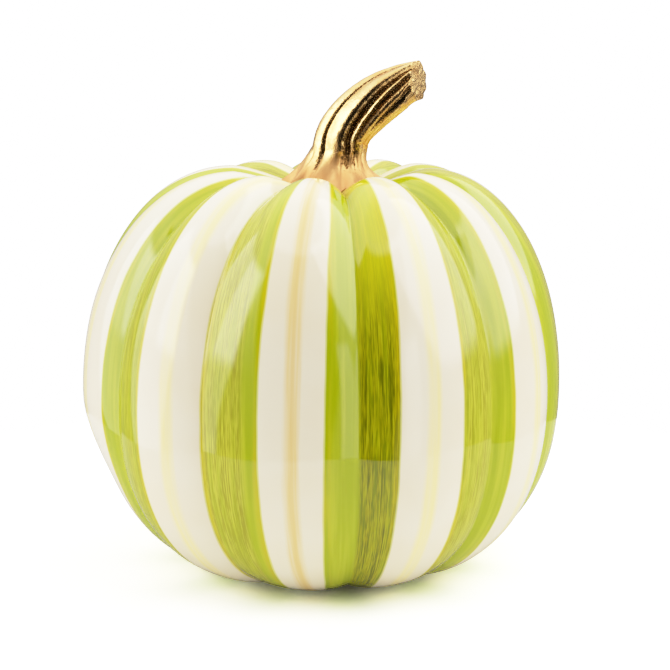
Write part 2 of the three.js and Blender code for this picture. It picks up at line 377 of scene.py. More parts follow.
def green_paint(n, edge, fine, fray, swathes, clouds):
    """Lime, with olive brushwork on one side, golden towards its edges and a yellow rim."""
    lime = n.mix(n.step(swathes, 0.35, 0.7), LIME, LIME_PALE)
    lime = n.mix(n.step(fine, 0.5, 0.75, 0.0, 0.35), lime, OLIVE)
    load = n.attribute("load")
    heavy = n.mix(n.step(fine, 0.40, 0.60), OLIVE_DARK, OLIVE)
    heavy = n.mix(n.step(fine, 0.54, 0.66, 0.0, 0.45), heavy, LIME_PALE)
    # Painted highlight: the heavy olive is laid lighter towards the crown.
    heavy = n.mix(n.step(n.height(), HIGHLIGHT_FROM, HIGHLIGHT_TO, 0.0, 0.7), heavy, OLIVE_PAINTED_HIGHLIGHT)
    thin = n.mix(n.step(fine, 0.42, 0.59), OLIVE_THIN, STRAW)
    streaks = n.mix(n.step(load, 0.55, 1.0), thin, heavy)
    loaded = n.step(n.add(n.attribute("olive"), n.times(fray, 6.0)), -1.2, 1.6)
    loaded = n.times(loaded, n.step(load, 0.3, 0.6, 0.6, 1.0))
    density = n.step(n.add(swathes, n.times(clouds, 0.5)), 0.45, 0.95, 0.45, 1.0)
    green = n.mix(n.times(loaded, density), lime, streaks)
    golden = n.times(n.step(edge, 0.6, 4.5, 0.8, 0.0), n.step(swathes, 0.36, 0.56))
    green = n.mix(n.times(golden, n.step(fine, 0.4, 0.58, 0.5, 1.0)), green, GOLDEN)
    return n.mix(n.step(edge, 0.35, 1.0, 0.6, 0.0), green, EDGE_YELLOW)


def cream_paint(n, wobble, fray, swathes, clouds):
    """Cream, with a pale yellow or ochre stroke down the middle."""
    cream = n.mix(n.step(clouds, 0.3, 0.7), CREAM, CREAM_WARM)
    stroke = n.math("ABSOLUTE", n.add(n.attribute("stroke"), n.times(wobble, 1.2)))
    wide = n.step(n.add(stroke, n.times(fray, 3.0)), 1.7, 4.8, 1.0, 0.0)
    core = n.step(n.add(stroke, n.times(fray, 2.4)), 0.2, 1.7, 1.0, 0.0)
    fade = n.step(swathes, 0.3, 0.65, 0.55, 1.0)
    ochre = n.attribute("ochre")
    cream = n.mix(n.times(wide, fade), cream, n.mix(ochre, PALE_YELLOW, OCHRE))
    return n.mix(n.times(n.times(core, ochre), 0.55), cream, OCHRE_DEEP)


def glaze_material():
    """Brushed green and cream underglaze paint under a clear, glossy glaze. The attributes edge,
    olive and stroke are in millimetres: edge is inside the green where positive, olive is
    inside the olive brushwork where positive, and stroke is measured from the middle of a cream
    stripe. load is how heavy the olive is, and ochre is 1 where the stroke is ochre."""
    material, n = new_material("painted_glaze")
    brush = n.attribute("brush", "Vector")
    bristles = n.noise(n.stretched(brush, (1, 1, 0.024)), 1.6, 2.0, 0.6)
    strokes = n.stretched(brush, (1, 1, 0.05))
    hairs = n.noise(strokes, 3.1, 1.0, 0.5)
    swathes = n.noise(strokes, 0.3, 2.0, 0.5)
    clouds = n.noise(n.place(), 26.0, 2.0, 0.5)
    wobble = n.about_zero(clouds, 1.5)
    fray = n.about_zero(bristles, 0.5)
    fine = n.add(n.times(bristles, 0.62), n.times(hairs, 0.38))
    edge = n.add(n.add(n.attribute("edge"), wobble), fray)
    green = green_paint(n, edge, fine, fray, swathes, clouds)
    cream = cream_paint(n, wobble, fray, swathes, clouds)
    marks = n.times(fine, n.step(edge, -0.2, 0.4))
    n.surface(
        Base_Color=n.mix(n.step(edge, -0.35, 0.35), cream, green),
        Roughness=0.45,
        Specular_IOR_Level=0.0,
        Normal=n.bump(marks, BRUSH_RELIEF),
        Coat_Weight=1.0,
        Coat_Roughness=0.035,
        Coat_IOR=1.6,
        Coat_Normal=n.bump(n.add(marks, n.times(clouds, 6.0)), GLAZE_RELIEF),
    )
    return material


BISQUE_LIGHT = (0.78, 0.72, 0.62)
BISQUE_STAINED = (0.66, 0.57, 0.45)
BISQUE_GRAIN = (0.48, 0.41, 0.33)


def bisque_material():
    """The bare fired clay of the foot ring, the base recess and the inside."""
    material, n = new_material("bare_bisque")
    grain = n.noise(n.place(), 900.0, 3.0, 0.6)
    stains = n.noise(n.place(), 60.0, 3.0, 0.6)
    colour = n.mix(n.step(stains, 0.35, 0.7), BISQUE_LIGHT, BISQUE_STAINED)
    colour = n.mix(n.step(grain, 0.55, 0.75, 0.0, 0.4), colour, BISQUE_GRAIN)
    n.surface(
        Base_Color=colour,
        Roughness=n.step(grain, 0.2, 0.8, 0.75, 0.95),
        Normal=n.bump(grain, 0.00012),
    )
    return material


GOLD = (0.87, 0.56, 0.235)
GOLD_DEEP = (0.76, 0.42, 0.15)
# The root's gold, coppery and laid darker as painted shade low in the crown well.
ROOT_PAINTED_SHADE = (0.56, 0.285, 0.12)
CUT_SPECKS = (0.16, 0.08, 0.02)
# Painted shade: the dark brown laid in the stem's folds, on the shaded side of each ridge.
FOLD_PAINTED_SHADE = (0.075, 0.036, 0.007)


def gold_material():
    """Crinkled gold leaf over a cast stem. The attributes go from 0 to 1: root is the dull, coppery
    root, laid darker as painted shade, fold_shade the painted shade in the folds, and cut the broken
    end."""
    material, n = new_material("gold_leaf")
    place = n.place()
    crinkle = n.noise(place, 620.0, 4.0, 0.65)
    flakes = n.noise(place, 1900.0, 2.0, 0.6)
    patches = n.noise(place, 120.0, 3.0, 0.55)
    root = n.attribute("root")
    fold_shade = n.attribute("fold_shade")
    cut = n.attribute("cut")
    gold = n.mix(n.step(patches, 0.35, 0.68), GOLD, GOLD_DEEP)
    # Painted shade: the root's gold is laid darker and more coppery.
    gold = n.mix(n.times(root, 0.9), gold, ROOT_PAINTED_SHADE)
    specks = n.step(flakes, 0.50, 0.62)
    gold = n.mix(n.times(specks, n.times(cut, 0.6)), gold, CUT_SPECKS)
    # Painted shade: the folds are laid dark brown on the shaded side of each ridge, with crinkled
    # edges.
    ragged = n.add(fold_shade, n.about_zero(crinkle, 1.1))
    painted_shade = n.times(n.step(ragged, 0.28, 0.42), n.step(flakes, 0.54, 0.64, 1.0, 0.3))
    painted_shade = n.times(painted_shade, n.step(fold_shade, 0.0, 0.12))
    gold = n.mix(painted_shade, gold, FOLD_PAINTED_SHADE)
    rough = n.add(n.times(fold_shade, 0.9), n.times(cut, 0.8))
    grain = n.times(n.add(crinkle, n.times(flakes, 0.4)), n.add(rough, 0.4))
    n.surface(
        Base_Color=gold,
        Metallic=1.0,
        Roughness=n.add(n.step(patches, 0.3, 0.7, 0.16, 0.27), n.times(root, 0.42)),
        Normal=n.bump(grain, 0.00045, 0.8),
    )
    return material


# Colour, dusty colour and clearness.
WHITE_RUBBER = ((0.78, 0.76, 0.72), (0.66, 0.64, 0.60), 0.0)
CLEAR_RUBBER = ((0.80, 0.82, 0.83), (0.70, 0.71, 0.71), 0.55)


def rubber_material(name, colour, dusty, clear):
    """Soft rubber with a dusty haze. clear is the share of light that goes through it."""
    material, n = new_material(name)
    haze = n.noise(n.place(), 700.0, 3.0, 0.6)
    n.surface(
        Base_Color=n.mix(n.step(haze, 0.35, 0.7), colour, dusty),
        Roughness=n.step(haze, 0.3, 0.7, 0.32, 0.5),
        Transmission_Weight=clear,
        Normal=n.bump(haze, 0.00003),
    )
    return material


EPOXY_LIGHT = (0.72, 0.63, 0.42)
EPOXY_AMBER = (0.62, 0.50, 0.30)


def epoxy_material():
    """Cured casting epoxy with fine bubbles in its skin."""
    material, n = new_material("cured_epoxy")
    bubbles = n.noise(n.place(), 1500.0, 2.0, 0.6)
    clouds = n.noise(n.place(), 200.0, 2.0, 0.5)
    n.surface(
        Base_Color=n.mix(n.step(clouds, 0.3, 0.7), EPOXY_LIGHT, EPOXY_AMBER),
        Roughness=n.step(bubbles, 0.4, 0.7, 0.25, 0.5),
        Normal=n.bump(bubbles, 0.00008),
    )
    return material


# ---------------------------------------------------------------- the body

WELL_ROWS = 14
SHOULDER_ROWS = 62
BELLY_ROWS = 66
INSIDE_ROWS = 24
# The slight waves of the glazed surface: how high, how wide, and which noise.
UNDULATION, UNDULATION_SIZE, UNDULATION_SEED = 0.22, 34, 3.1
BASE_BEVEL, FOOT_BEVEL_HEIGHT = 0.6, 0.4
RECESS_FILLET_RADIUS, RECESS_FILLET_HEIGHT = 4, 1.2


def outer_rows(azimuth, furrow):
    """Rings from the socket over the crown and down to the foot, as arrays of radius and z."""
    rows = [well(azimuth, furrow, 1 - i / WELL_ROWS) for i in range(WELL_ROWS)]
    for i in range(SHOULDER_ROWS):
        turn = np.full_like(furrow, (np.pi / 2) * i / SHOULDER_ROWS)
        rows.append(skin(azimuth, furrow, turn))
    end = belly_turn(azimuth, furrow, FOOT_Z)
    for i in range(BELLY_ROWS + 1):
        rows.append(skin(azimuth, furrow, np.pi / 2 + (end - np.pi / 2) * i / BELLY_ROWS))
    return rows


def inner_rows(azimuth, furrow):
    """Rings under the foot, through the vent and back up the inside to the socket."""
    count = len(furrow)
    profile = [
        (FOOT_INNER_RADIUS + BASE_BEVEL, FOOT_Z),
        (FOOT_INNER_RADIUS, FOOT_Z + FOOT_BEVEL_HEIGHT),
        (FOOT_INNER_RADIUS - RECESS_FILLET_RADIUS / 2, RECESS_Z - RECESS_FILLET_HEIGHT),
        (FOOT_INNER_RADIUS - RECESS_FILLET_RADIUS, RECESS_Z),
        (VENT_RADIUS + BASE_BEVEL, RECESS_Z),
        (VENT_RADIUS, RECESS_Z + BASE_BEVEL),
        (VENT_RADIUS, RECESS_Z + WALL),
    ]
    rows = [(np.full(count, float(r)), np.full(count, float(z))) for r, z in profile]
    end = belly_turn(azimuth, furrow, RECESS_Z + WALL, WALL, INSIDE_FURROW_SHARE)
    for i in range(INSIDE_ROWS + 1):
        turn = end * (1 - i / INSIDE_ROWS)
        rows.append(skin(azimuth, furrow, turn, WALL, INSIDE_FURROW_SHARE))
    radius, z = well(azimuth, furrow, 0.5)
    rows.append((radius, z - WALL))
    rows.append((np.full(count, float(SOCKET_RADIUS)), np.full(count, CREST_TOP_Z - WELL_DROP - WALL)))
    return rows


def row_normals(points):
    """Outward normals of a grid of points, rows running down the outside."""
    down = np.gradient(points, axis=0)
    sideways = np.roll(points, -1, 1) - np.roll(points, 1, 1)
    normals = np.cross(down, sideways)
    return normals / np.maximum(np.linalg.norm(normals, axis=-1, keepdims=True), 1e-9)


def paint_layout(azimuth, points):
    """The glaze's attributes at every point of the grid: see glaze_material. brush is the
    brushwork's own coordinates, with the length down the skin as the last one."""
    radius = np.hypot(points[..., 0], points[..., 1])
    fallen = np.linalg.norm(np.diff(points, axis=0), axis=-1)
    arc = np.vstack([np.zeros(len(azimuth)), np.cumsum(fallen, axis=0)])
    height = np.clip(points[..., 2] / CREST_TOP_Z, 0, 1)
    per_degree = radius * math.radians(1)
    centres = [middle + drift * (height - 0.5) for middle, _, drift, _, _ in STRIPES]
    crownward = np.exp((CROWN_RING_RADIUS - radius) / CROWN_WIDENING_REACH)
    widening = 1 + CROWN_WIDENING * np.clip(crownward, 0, 1)
    halves = [stripe[1] / 2 * widening for stripe in STRIPES]
    inside = [half - np.abs(wrapped(azimuth - centre)) for centre, half in zip(centres, halves)]
    nearest = np.argmax(inside, axis=0)
    edge = np.max(inside, axis=0) * per_degree
    splits = np.array([stripe[3] for stripe in STRIPES])[nearest]
    sides = np.array([stripe[4] for stripe in STRIPES])[nearest]
    olive = wrapped(azimuth - splits) * np.sign(sides) * per_degree
    gaps = []
    for i, centre in enumerate(centres):
        j = (i + 1) % len(STRIPES)
        right, left = centre + halves[i], centres[j] - halves[j]
        gaps.append(wrapped(azimuth - right - wrapped(left - right) / 2))
    band = np.argmin(np.abs(gaps), axis=0)
    stroke = np.take_along_axis(np.array(gaps), band[None], axis=0)[0] * per_degree
    a = np.radians(azimuth)
    around = np.broadcast_to(BODY_RADIUS * np.sin(a), arc.shape)
    ahead = np.broadcast_to(-BODY_RADIUS * np.cos(a), arc.shape)
    return {
        "edge": edge,
        "olive": olive,
        "load": np.abs(sides),
        "stroke": stroke,
        "ochre": (band == OCHRE_BAND).astype(float),
        "brush": np.stack([around, ahead, arc], -1),
    }


def build_body(glaze, bisque):
    """The glazed outside, and bare clay underneath and inside."""
    azimuth, furrow = lobe_lines(LOBE_STEPS, GLAZE_FILL)
    outer = np.array([on_axis(azimuth, r, z) for r, z in outer_rows(azimuth, furrow)])
    inner = np.array([on_axis(azimuth, r, z) for r, z in inner_rows(azimuth, furrow)])
    layout = paint_layout(azimuth, outer)
    settle = np.sin(np.pi * np.linspace(0, 1, len(outer))) ** 0.5
    wave = relief(outer.reshape(-1, 3), UNDULATION_SIZE, UNDULATION_SEED)
    lift = UNDULATION * settle[:, None] * wave.reshape(outer.shape[:2])
    outer += row_normals(outer) * lift[..., None]
    rows = np.concatenate([outer, inner])
    count = len(azimuth)
    flipped = rows[::-1].reshape(-1, 3)
    faces = ring_faces(len(rows), count, True)
    piece = make_piece("painted_body", flipped, faces.tolist(), [glaze, bisque], "shell")
    row_of_face = len(rows) - 1 - np.arange(len(rows)).repeat(count)
    bare = row_of_face >= len(outer) - 1
    piece.data.polygons.foreach_set("material_index", bare.astype(np.int32))
    for name, values in layout.items():
        full = np.zeros((len(rows), count, *values.shape[2:]))
        full[: len(outer)] = values
        add_attribute(piece, name, full[::-1].reshape(-1, *values.shape[2:]))
    return piece


# ---------------------------------------------------------------- the stem

NECK_X = 1.9
NECK_Z = 203
SPIGOT_RADIUS = 8.5
SPIGOT_END_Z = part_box("stem")[0].z / MM
# Clearance between neighbouring pieces, as in the CAD.
GAP = 0.35
# The root reaches further out in the furrows, and its underside follows the crown well.
ROOT_RADIUS = 21.5
ROOT_REACH = 8.3
ROOT_FILL = 0.06
ROOT_CLEARANCE = 0.8
RIM_CLEARANCE = 0.2
RIM_INSET, RIM_HEIGHT = 0.3, 0.5
UNDERSIDE_SHARES = np.linspace(0.1, 0.95, 9)
# How quickly the root narrows upwards: on the whole, more towards +X, and more in a furrow.
FLARE, FLARE_SIDE, FLARE_FURROW = 1.65, 0.75, 0.9
FOLDS_START = 0.25
# The middle line from the neck to the cut end: x, z and radius.
STEM_STATIONS = np.array([
    [NECK_X, NECK_Z, 13.4],
    [3.2, 208, 12.9],
    [6.6, 213.5, 12.6],
    [14.4, 221.2, 12.2],
    [24, 228, 11.2],
    [32, 232.2, 9.9],
    [39, 234.6, 9.4],
])
CUT_FACING = np.array([1, -0.5, 0.12]) / math.hypot(1, 0.5, 0.12)
# Grooves between the stem's folds: azimuth in degrees at the neck, half way and at the cut end,
# depth as a share of the radius, and how wide the painted shade is at the neck and at the cut end.
GROOVES = [
    (-150, -172, -195, 0.15, 0.6, 0.4),
    (-100, -125, -155, 0.13, 0.4, 0.2),
    (-35, -62, -95, 0.13, 0.5, 0.0),
    (20, -8, -48, 0.27, 1.0, 0.15),
    (34, 12, -20, 0.25, 1.0, 0.6),
    (58, 38, 12, 0.22, 0.3, 0.6),
    (88, 66, 42, 0.15, 0.0, 0.4),
    (128, 105, 80, 0.14, 0.4, 0.5),
    (170, 150, 125, 0.15, 0.6, 0.6),
]
# Degrees of painted shade on the two sides of a groove, at its widest.
SHADE_BEFORE, SHADE_AFTER = 22, 7
FOLD_LEAN = 1.6
FOLD_ROUNDNESS = 0.7
# Small lumps: size, noise and share of each kind, how high they are on the leaf and how much
# higher on the broken end, and how far above the crown they are at full height.
LUMPS = ((2.6, 5.3, 1.0), (1.1, 9.7, 0.6))
LEAF_LUMPS, CUT_LUMPS, LUMPS_RISE = 0.09, 0.26, 6
CUT_RINGS = (0.97, 0.9, 0.8, 0.68, 0.55, 0.42, 0.28, 0.14)
CUT_BULGE = 0.4
STEM_STEPS = 24
SPINE_ROWS = 110
ROOT_ROWS = 30


def spine_at(along):
    """Points of the middle line and its radius at along, from 0 to 1."""
    chord = np.r_[0, np.cumsum(np.linalg.norm(np.diff(STEM_STATIONS[:, :2], axis=0), axis=1))]
    slopes = np.gradient(STEM_STATIONS, chord, axis=0)
    s = along * chord[-1]
    i = np.clip(np.searchsorted(chord, s, side="right") - 1, 0, len(chord) - 2)
    span = chord[i + 1] - chord[i]
    u = (s - chord[i]) / span
    return (
        (2 * u**3 - 3 * u**2 + 1) * STEM_STATIONS[i]
        + (u**3 - 2 * u**2 + u) * span * slopes[i]
        + (3 * u**2 - 2 * u**3) * STEM_STATIONS[i + 1]
        + (u**3 - u**2) * span * slopes[i + 1]
    )


def folds(azimuth, along):
    """How far the radius is scaled by the twisted folds, and each point's share of painted shade.
    Each groove's azimuth follows a parabola through its three stations."""
    neck, middle, cut, depth, shade_at_neck, shade_at_cut = np.array(GROOVES, float).T
    line = neck + along * (4 * middle - 3 * neck - cut) + along**2 * (2 * neck - 4 * middle + 2 * cut)
    line = wrapped(line)
    fold_shade = shade_at_neck + (shade_at_cut - shade_at_neck) * along
    order = np.argsort(line)
    line, depth, fold_shade = (np.r_[v[order], v[order[0]]] for v in (line, depth, fold_shade))
    line[-1] += 360
    place = (azimuth - line[0]) % 360 + line[0]
    i = np.clip(np.searchsorted(line, place, side="right") - 1, 0, len(GROOVES) - 1)
    gap = line[i + 1] - line[i]
    u = (place - line[i]) / gap
    deep = depth[i] + (depth[i + 1] - depth[i]) * u
    fold = np.sin(np.pi * u**FOLD_LEAN) ** FOLD_ROUNDNESS
    before = np.minimum(SHADE_BEFORE * fold_shade[i + 1], 0.6 * gap) + 0.01
    after = SHADE_AFTER * fold_shade[i] + 0.01
    painted_shade = np.maximum(1 - (line[i + 1] - place) / before, 1 - (place - line[i]) / after)
    return 1 + deep * (0.25 - (1 - fold)), np.clip(painted_shade, 0, 1)


# Each ring of the stem is its points with their shares of root, painted fold shade and cut.

def root_rim(furrow):
    return ROOT_RADIUS + ROOT_REACH * furrow


def underside_rings(azimuth, furrow):
    """Up the spigot and out under the root to its rim."""
    seat = CREST_TOP_Z - WELL_DROP + GAP
    bevel = [(1, 0), (0.3, 0.3), (0, 1)]
    spigot = [(SPIGOT_RADIUS - inward, SPIGOT_END_Z + up) for inward, up in bevel]
    for radius, z in [*spigot, (SPIGOT_RADIUS, seat)]:
        yield on_axis(azimuth, radius, z), 1, 0, 0
    rim = root_rim(furrow)
    for spread in UNDERSIDE_SHARES:
        radius = SOCKET_RADIUS + (rim - SOCKET_RADIUS) * spread
        z = well_height(azimuth, furrow, radius) + ROOT_CLEARANCE
        z -= (ROOT_CLEARANCE - RIM_CLEARANCE) * spread
        yield on_axis(azimuth, radius, z), 1, 0, 0
    yield on_axis(azimuth, rim, well_height(azimuth, furrow, rim) + RIM_CLEARANCE), 1, 0, 0


def root_rings(azimuth, furrow):
    """From the rim up to the neck, where the folds begin."""
    fold, painted_shade = folds(azimuth, 0)
    rim = root_rim(furrow)
    foot = well_height(azimuth, furrow, rim) + RIM_CLEARANCE
    flare = FLARE + FLARE_SIDE * np.sin(np.radians(azimuth)) + FLARE_FURROW * furrow
    for i in range(ROOT_ROWS):
        rise = i / ROOT_ROWS
        gathered = max(0, (rise - FOLDS_START) / (1 - FOLDS_START)) ** 1.5
        neck = STEM_STATIONS[0, 2] * (1 + (fold - 1) * gathered)
        radius = neck + (rim - RIM_INSET - neck) * (1 - rise) ** flare
        z = foot + RIM_HEIGHT + (NECK_Z - foot - RIM_HEIGHT) * rise
        ring = on_axis(azimuth, radius, z) + np.array([NECK_X * rise**1.5, 0, 0])
        yield ring, 1 - rise**2, painted_shade * gathered**0.5, 0


def spine_facing(along):
    """The way a ring faces: straight up at the neck, then along the middle line from a sixth of
    the way, and turning to the cut's own facing in the last fifth."""
    ahead, behind = spine_at(min(along + 0.01, 1)), spine_at(max(along - 0.01, 0))
    facing = np.array([ahead[0] - behind[0], 0, ahead[1] - behind[1]])
    facing /= np.linalg.norm(facing)
    upright = max(0, 1 - along * 6)
    facing = facing * (1 - upright) + np.array([0, 0, 1]) * upright
    turned = max(0, along * 5 - 4)
    return facing * (1 - turned) + CUT_FACING * turned


def spine_rings(azimuth):
    """From the neck to the edge of the cut."""
    a = np.radians(azimuth)
    for i in range(SPINE_ROWS + 1):
        along = i / SPINE_ROWS
        x, z, radius = spine_at(along)
        facing = spine_facing(along)
        right = np.cross([0, 1, 0], facing)
        right /= np.linalg.norm(right)
        across = np.cross(facing, right)
        across /= np.linalg.norm(across)
        fold, painted_shade = folds(azimuth, along)
        reach = (radius * fold)[:, None]
        ring = np.array([x, 0, z]) + right * reach * np.sin(a)[:, None]
        yield ring - across * reach * np.cos(a)[:, None], 0, painted_shade, 0


def cut_rings(edge):
    """Inwards over the broken end, which bulges a little."""
    middle = edge.mean(axis=0)
    for share in CUT_RINGS:
        bulge = CUT_BULGE * (1 - share**4)
        yield middle + (edge - middle) * share + CUT_FACING * bulge, 0, 0, 1


def build_stem(gold):
    """The gilded stem, with its root and its spigot."""
    azimuth, furrow = lobe_lines(STEM_STEPS, ROOT_FILL)
    count = len(azimuth)
    rings = [*underside_rings(azimuth, furrow), *root_rings(azimuth, furrow), *spine_rings(azimuth)]
    rings += cut_rings(rings[-1][0])
    points = np.concatenate([ring[0] for ring in rings])
    root, fold_shade, cut = (
        np.concatenate([np.broadcast_to(ring[i], count) for ring in rings]) for i in (1, 2, 3)
    )
    lumps = sum(share * relief(points, size, seed) for size, seed, share in LUMPS)
    rough = LEAF_LUMPS + CUT_LUMPS * cut
    above = np.clip((points[:, 2] - CREST_TOP_Z) / LUMPS_RISE, 0, 1)
    towards = points - np.repeat([ring[0].mean(axis=0) for ring in rings], count, axis=0)
    towards[cut > 0] = CUT_FACING
    towards /= np.maximum(np.linalg.norm(towards, axis=1, keepdims=True), 1e-9)
    points = points + towards * (lumps * rough * above)[:, None]
    faces = ring_faces(len(rings), count, False).tolist()
    close_ends(faces, len(points), count)
    bottom, top = points[:count].mean(axis=0), points[-count:].mean(axis=0) + CUT_FACING * 0.1
    points = np.vstack([points, bottom, top])
    piece = make_piece("gilded_stem", points, faces, [gold], "stem")
    add_attribute(piece, "root", np.r_[root, 1, 0])
    add_attribute(piece, "fold_shade", np.r_[fold_shade, 0, 0])
    add_attribute(piece, "cut", np.r_[cut, 0, 1])
    return piece


# ---------------------------------------------------------------- small pieces

BOND_STEPS = 72
# Waves round the adhesive's skin: number and height. It also sags between spigot and socket.
BOND_WAVES = ((3, 0.22), (7, 0.12))
BOND_SAG = (0.0, 0.5, 0.8, 0.8, 0.5, 0.0)
BOND_MARGIN = 0.2
PLUG_STEPS = 72
DIMPLE_RADIUS, DIMPLE_DEPTH = 3.2, 0.5
PLUG_ROUNDING, PLUG_SEAT_ROUNDING = 1.6, 0.5
BARB_OVERHANG, BARB_ROUNDING = 0.4, 0.6
BUMPER_STEPS = 64
BUMPER_FLAT, BUMPER_ROUNDING = 2, 1.1


def build_bond(epoxy):
    """Cured adhesive between spigot and socket, with the wavy skin it set with."""
    azimuth = np.arange(BOND_STEPS) * 360 / BOND_STEPS
    outer, inner = SOCKET_RADIUS - GAP, SPIGOT_RADIUS + GAP
    top, bottom = CREST_TOP_Z - WELL_DROP - GAP, CREST_TOP_Z - WELL_DROP - WALL + GAP
    wave = sum(high * np.sin(np.radians(azimuth * waves)) for waves, high in BOND_WAVES)
    lift = wave * 0.5 - BOND_MARGIN
    radii = np.linspace(inner, outer, len(BOND_SAG))
    rows = [on_axis(azimuth, r, top - sag + lift) for r, sag in zip(radii, BOND_SAG)]
    rows += [on_axis(azimuth, r, bottom + sag / 2 - lift) for r, sag in zip(radii[::-1], BOND_SAG)]
    faces = ring_faces(len(rows), len(azimuth), True)[:, ::-1]
    points = np.array(rows).reshape(-1, 3)
    return make_piece("socket_adhesive", points, faces.tolist(), [epoxy], "stem_bond")


def lathe(name, outline, centre, material, node, segments):
    """Turns an outline of (radius, z), from axis to axis running upwards, about a vertical line."""
    azimuth = np.arange(segments) * 360 / segments
    rows = [on_axis(azimuth, r, z) for r, z in outline[1:-1]]
    points = np.array(rows).reshape(-1, 3)
    faces = ring_faces(len(rows), segments, False).tolist()
    close_ends(faces, len(points), segments)
    points = np.vstack([points, [0, 0, outline[0][1]], [0, 0, outline[-1][1]]])
    points = points + np.array([centre[0], centre[1], 0])
    return make_piece(name, points, faces, [material], node)


def arc_points(centre_r, centre_z, radius, start, end, steps):
    """Points of a rounded edge in an outline, by angle in degrees from the outward radius."""
    angles = np.radians(np.linspace(start, end, steps))
    return [(centre_r + radius * math.cos(a), centre_z + radius * math.sin(a)) for a in angles]


def build_plug(rubber):
    """A round head with a moulding dimple, a shaft through the vent and a barb inside."""
    low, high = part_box("vent_plug")
    bottom, top = low.z / MM, high.z / MM
    head, shaft = (high.x - low.x) / 2 / MM, VENT_RADIUS - GAP
    seat, inside = RECESS_Z - GAP, RECESS_Z + WALL + GAP
    dimple, edge, seat_edge = bottom + DIMPLE_DEPTH, PLUG_ROUNDING, PLUG_SEAT_ROUNDING
    outline = [(0, dimple), (DIMPLE_RADIUS - 1, dimple), (DIMPLE_RADIUS - 0.4, dimple - 0.15)]
    outline += [(DIMPLE_RADIUS, bottom + 0.05)]
    outline += arc_points(head - edge, bottom + edge, edge, -90, 0, 8)
    outline += arc_points(head - seat_edge, seat - seat_edge, seat_edge, 0, 90, 5)
    outline += [(shaft + BARB_OVERHANG, seat), (shaft, seat + 0.3), (shaft, inside)]
    outline += arc_points(shaft + BARB_OVERHANG, inside + 0.9, BARB_ROUNDING, -60, 70, 7)
    outline += [(shaft - 1.2, top - 0.2), (shaft - 2, top), (0, top)]
    return lathe("vent_plug_moulding", outline, (0, 0), rubber, "vent_plug", PLUG_STEPS)


def build_bumpers(rubber):
    """Stick-on domes under the foot ring, each flat where it stands."""
    for i in range(1, 6):
        low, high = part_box(f"bumper_{i}")
        centre = (low + high) / 2 - AXIS
        radius, top = (high.x - low.x) / 2 / MM, high.z / MM
        outline = [(0, 0), (radius - BUMPER_FLAT, 0)]
        outline += arc_points(radius - BUMPER_ROUNDING, BUMPER_ROUNDING, BUMPER_ROUNDING, -85, 0, 8)
        outline += [(radius, top - 0.3), (radius - 0.25, top), (0, top)]
        middle = (centre.x / MM, centre.y / MM)
        node = f"bumper_{i}"
        lathe(f"bumper_dome_{i}", outline, middle, rubber, node, BUMPER_STEPS)


# ---------------------------------------------------------------- studio

CAMERA_DISTANCE = 1.15
CAMERA_ELEVATION = 12.2
CAMERA_TARGET_Z = 0.1122
CAMERA_LENS = 128.6
CAMERA_CLIP = (0.05, 20)
TABLE_RADIUS = 0.31
TABLE_CORNER_STEP = 3
# How much light the table gives the figure, how bright the glaze mirrors it, laid darker as painted
# shade, and how white it shows to the camera, with a darker green cast near the foot as painted
# shade and painted bounce light from the green paint, and where that fades, in metres.
TABLE_GLOW = (0.90, 0.90, 0.88)
TABLE_MIRRORED_SHADE = (0.42, 0.42, 0.40)
TABLE_SHOWN = (1.9, 1.9, 1.88)
TABLE_PAINTED_BOUNCE_NEAR_FOOT = (1.50, 1.62, 1.14)
PAINTED_BOUNCE_FADE = (0.05, 0.105)
# Scene radiance that shows as full white, and the soft shoulder of the film below it.
WHITE_POINT = 2.5
FILM_CURVE = [(0, 0), (0.25, 0.25), (0.45, 0.45), (0.7, 0.655), (1.0, 0.8), (1.6, 0.93), (2.5, 1.0)]
# Blender's number for the curve that all three colours share.
COMBINED_CURVE = 3
STUDIO_LEVEL = 0.83
STUDIO_COLOUR = (1.0, 0.99, 0.97)

# Soft boxes round the figure, by direction in degrees: left and right edges in azimuth, how far
# each shifts for a degree of elevation, low and high edges, softness, and radiance. In order:
# the left one, its lower part, its bright core, the right one, and a dim strip at the front right.
SOFT_BOXES = [
    (-118, -59.5, 0.0, 0.22, 7, 44, 3, 3.2),
    (-118, -62, -0.45, 0.6, -26, 7, 3, 2.1),
    (-84, -56, 0.0, 0.0, 8, 44, 3, 3.0),
    (64, 106, -0.72, 0.8, 4, 66, 4, 3.2),
    (31, 44, 0.0, 0.0, -26, 16, 2, 1.7),
]
# Radiance of the surrounding room by elevation, and the dark side that the camera stands on,
# given as a soft box is but with no radiance.
ROOM = [(-30, 0.25), (0, 0.5), (20, 1.1), (40, 2.1), (56, 2.5), (70, 2.0), (90, 1.7)]
CAMERA_SIDE_GAP = (-33, 29, -0.4, 0.35, -90, 60, 3)


def band(n, value, low, high, soft):
    """1 between low and high, falling to 0 over twice the softness."""
    up = n.step(value, n.math("SUBTRACT", low, soft), n.add(low, soft))
    down = n.step(value, n.math("SUBTRACT", high, soft), n.add(high, soft), 1.0, 0.0)
    return n.times(up, down)


def patch(n, azimuth, elevation, shape):
    """1 inside a part of the sky that is given as a soft box is, and 0 outside it."""
    left, right, left_slope, right_slope, low, high, soft = shape
    left_edge = n.add(n.times(elevation, left_slope), left)
    right_edge = n.add(n.times(elevation, right_slope), right)
    across = band(n, azimuth, left_edge, right_edge, soft)
    return n.times(across, band(n, elevation, low, high, soft))


